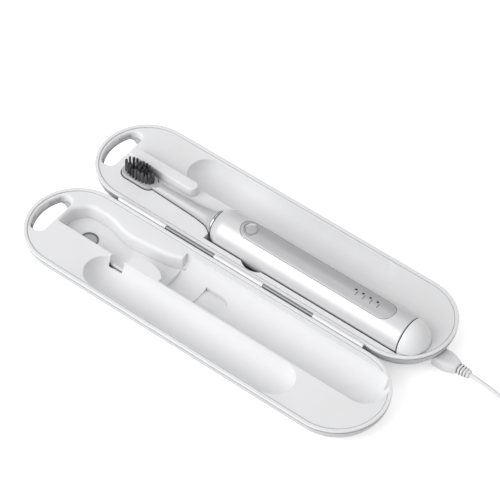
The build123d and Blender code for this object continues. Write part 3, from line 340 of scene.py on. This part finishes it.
# sizes of the overmould are in millimetres; a section is its distance from the plug's face, half
# width, half height and corner radius
HALF_WIDTH, HALF_HEIGHT, CORNER_R = 5.85, 3.75, 1.6
BODY_SECTIONS = ((0.0, 5.45, 3.4, 1.4), (0.4, HALF_WIDTH, HALF_HEIGHT, CORNER_R),
                 (7.0, HALF_WIDTH, HALF_HEIGHT, CORNER_R), (10.0, 5.3, 3.7, CORNER_R),
                 (13.0, 4.2, 3.4, CORNER_R), (15.2, 3.5, 3.0, CORNER_R), (15.6, 3.1, 2.6, 1.5))
RELIEF_R, RELIEF_START, RELIEF_END = 2.1, 15.6, 23.6
RIBS = 4
RIB_FIRST, RIB_PITCH, RIB_LENGTH = 16.5, 1.9, 1.1
RIB_HALF_WIDTH, RIB_HALF_HEIGHT, RIB_SHRINK = 3.2, 2.8, 0.2
CORNER_STEPS = 6
LOOP_SIZE = 4 * (CORNER_STEPS + 1)
FRAME_CENTRE = (7.0, 0.0)
FRAME_OUTLINE = (2.2, 2.9, 0.8)  # half length, half width and corner radius
FRAME_HOLE = (1.75, 2.45, 0.5)
DOT_CENTRES = ((10.8, 1.0), (10.8, -1.0))
DOT_OUTLINE = (0.35, 0.35, 0.35)
SUNK, FRAME_PROUD, DOT_PROUD = 0.3, 0.2, 0.12
PLUG_CREASE = math.radians(32)


def relief_section(distance):
    """The round strain relief at a distance from the plug's face."""
    return (distance, RELIEF_R, RELIEF_R, RELIEF_R)


def plug_sections():
    """Every section of the overmould: the tapered body, then the strain relief with its ribs."""
    sections = list(BODY_SECTIONS) + [relief_section(RELIEF_START)]
    for rib in range(RIBS):
        start = RIB_FIRST + RIB_PITCH * rib
        end = start + RIB_LENGTH
        outline = (RIB_HALF_WIDTH - RIB_SHRINK * rib, RIB_HALF_HEIGHT - RIB_SHRINK * rib, CORNER_R)
        sections += [relief_section(start), (start, *outline), (end, *outline), relief_section(end)]
    return sections + [relief_section(RELIEF_END)]


def rounded_loop(half_width, half_height, corner):
    """Points round a rounded rectangle, in millimetres about its centre."""
    loop = []
    for quarter, (side, end) in enumerate(((1, 1), (-1, 1), (-1, -1), (1, -1))):
        for step in range(CORNER_STEPS + 1):
            turn = math.radians(90 * (quarter + step / CORNER_STEPS))
            loop.append((side * (half_width - corner) + corner * math.cos(turn),
                         end * (half_height - corner) + corner * math.sin(turn)))
    return loop


def join_loops(faces, first, second, count):
    """A band of quads between two loops of points."""
    for k in range(count):
        after = (k + 1) % count
        faces.append((first + k, first + after, second + after, second + k))


def raised_loop(points, faces, loop, base, top, hole=None):
    """A low raised plate, or a frame where a hole's loop is given."""
    first, count = len(points), len(loop)
    for z in (base, top):
        points.extend(Vector((x, y, z)) for x, y in loop)
    join_loops(faces, first, first + count, count)
    if hole is None:
        faces.append(tuple(range(first + count, first + 2 * count)))
        faces.append(tuple(reversed(range(first, first + count))))
        return
    for z in (base, top):
        points.extend(Vector((x, y, z)) for x, y in hole)
    join_loops(faces, first + 3 * count, first + 2 * count, count)
    join_loops(faces, first + count, first + 3 * count, count)
    join_loops(faces, first + 2 * count, first, count)


def lofted_plug(points, faces, origin):
    """The closed skin through all the sections, from the plug's face to the end of the relief."""
    sections = plug_sections()
    for distance, *outline in sections:
        points.extend(origin + Vector((distance, y, z)) * MM for y, z in rounded_loop(*outline))
    for k in range(len(sections) - 1):
        join_loops(faces, LOOP_SIZE * k, LOOP_SIZE * (k + 1), LOOP_SIZE)
    faces.append(tuple(reversed(range(LOOP_SIZE))))
    faces.append(tuple(range(LOOP_SIZE * (len(sections) - 1), LOOP_SIZE * len(sections))))


def make_plug_body():
    """The overmould, with a raised frame and two dots on top."""
    low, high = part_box("plug_overmold")
    origin = Vector((low[0], (low[1] + high[1]) / 2, low[2] + HALF_HEIGHT * MM))
    points, faces = [], []
    lofted_plug(points, faces, origin)

    def plan(centre, outline):
        return [(origin.x + (centre[0] + x) * MM, origin.y + (centre[1] + y) * MM)
                for x, y in rounded_loop(*outline)]

    top = origin.z + HALF_HEIGHT * MM
    raised_loop(points, faces, plan(FRAME_CENTRE, FRAME_OUTLINE), top - SUNK * MM,
                top + FRAME_PROUD * MM, plan(FRAME_CENTRE, FRAME_HOLE))
    for centre in DOT_CENTRES:
        raised_loop(points, faces, plan(centre, DOT_OUTLINE), top - SUNK * MM, top + DOT_PROUD * MM)
    plug_body = new_piece("plug_body", points, faces, "usb_lead", "lead_grey")
    plug_body.data.set_sharp_from_angle(angle=PLUG_CREASE)
    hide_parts("plug_overmold")


make_plug_body()


# ---------------------------------------------------------------- floor, light, camera

FLOOR_HALF = 6.0
FLOOR_GLOW = 0.45
SKY_LIGHT, SKY_SEEN = 0.58, 1.0
LIGHTS_AIM = Vector((-0.005, -0.017, 0.018))
CAMERA_AIM = Vector((-0.004613, -0.016842, 0.018))
CAMERA_AZIMUTH = math.radians(35.846)
CAMERA_ELEVATION = math.radians(49.650)
CAMERA_ROLL = math.radians(2.0805)
CAMERA_DISTANCE = 1.63749
CAMERA_LENS, SENSOR_WIDTH = 195.66, 36.0
CLIP_START = 0.01


def floor_finish():
    """A pale matt sheet that reads white to the camera and throws little light on the object."""
    material = surface("floor_white", (0.93, 0.93, 0.93), 0.9, tone=0.004, patch=3.0, bump=0.02,
                       specular=0.1)
    tree = material.node_tree
    shader = tree.nodes["Principled BSDF"]
    path = add_node(tree, "ShaderNodeLightPath")
    glow = add_node(tree, "ShaderNodeMath", operation="MULTIPLY")
    glow.inputs[1].default_value = FLOOR_GLOW
    shader.inputs["Emission Color"].default_value = (1, 1, 1, 1)
    link(tree, path.outputs["Is Camera Ray"], glow.inputs[0])
    link(tree, glow.outputs["Value"], shader.inputs["Emission Strength"])
    return material


floor_mesh = bpy.data.meshes.new("floor")
corners = [(x * FLOOR_HALF, y * FLOOR_HALF, 0) for x, y in ((-1, -1), (1, -1), (1, 1), (-1, 1))]
floor_mesh.from_pydata(corners, [], [(0, 1, 2, 3)])
floor_mesh.materials.append(floor_finish())
floor = bpy.data.objects.new("floor", floor_mesh)
bpy.context.scene.collection.objects.link(floor)

world = bpy.data.worlds.new("studio")
bpy.context.scene.world = world
world.use_nodes = True
backdrop = world.node_tree.nodes["Background"]
backdrop.inputs["Color"].default_value = (1, 1, 1, 1)
# the sky lights the object softly, but looks as white as the floor
seen = add_node(world.node_tree, "ShaderNodeLightPath")
strength = add_node(world.node_tree, "ShaderNodeMapRange")
strength.inputs["To Min"].default_value = SKY_LIGHT
strength.inputs["To Max"].default_value = SKY_SEEN
link(world.node_tree, seen.outputs["Is Camera Ray"], strength.inputs["Value"])
link(world.node_tree, strength.outputs["Result"], backdrop.inputs["Strength"])


def soft_light(name, place, size, power):
    """A large square lamp aimed at the object's middle."""
    data = bpy.data.lights.new(name, "AREA")
    data.shape = "SQUARE"
    data.size = size
    data.energy = power
    lamp = bpy.data.objects.new(name, data)
    lamp.location = place
    lamp.rotation_mode = "QUATERNION"
    lamp.rotation_quaternion = (LIGHTS_AIM - Vector(place)).to_track_quat("-Z", "Y")
    bpy.context.scene.collection.objects.link(lamp)


soft_light("key", place=(-0.62, -1.25, 0.90), size=1.6, power=21.0)
soft_light("top", place=(-0.1, 0.2, 1.3), size=1.0, power=1.5)


def camera_matrix(aim, azimuth, elevation, roll, distance):
    """A camera that looks at a point from an azimuth and an elevation, turned by a roll."""
    back = Vector((math.sin(azimuth) * math.cos(elevation), -math.cos(azimuth) * math.cos(elevation),
                   math.sin(elevation)))
    level = Vector((math.cos(azimuth), math.sin(azimuth), 0))
    right = level * math.cos(roll) + back.cross(level) * math.sin(roll)
    turn = Matrix((right, back.cross(right), back)).transposed().to_4x4()
    return Matrix.Translation(aim + back * distance) @ turn


camera_data = bpy.data.cameras.new("camera")
camera_data.lens = CAMERA_LENS
camera_data.sensor_width = SENSOR_WIDTH
camera_data.clip_start = CLIP_START
camera = bpy.data.objects.new("camera", camera_data)
camera.matrix_world = camera_matrix(CAMERA_AIM, CAMERA_AZIMUTH, CAMERA_ELEVATION, CAMERA_ROLL,
                                    CAMERA_DISTANCE)
bpy.context.scene.collection.objects.link(camera)
bpy.context.scene.camera = camera
bpy.context.scene.view_settings.view_transform = "Standard"
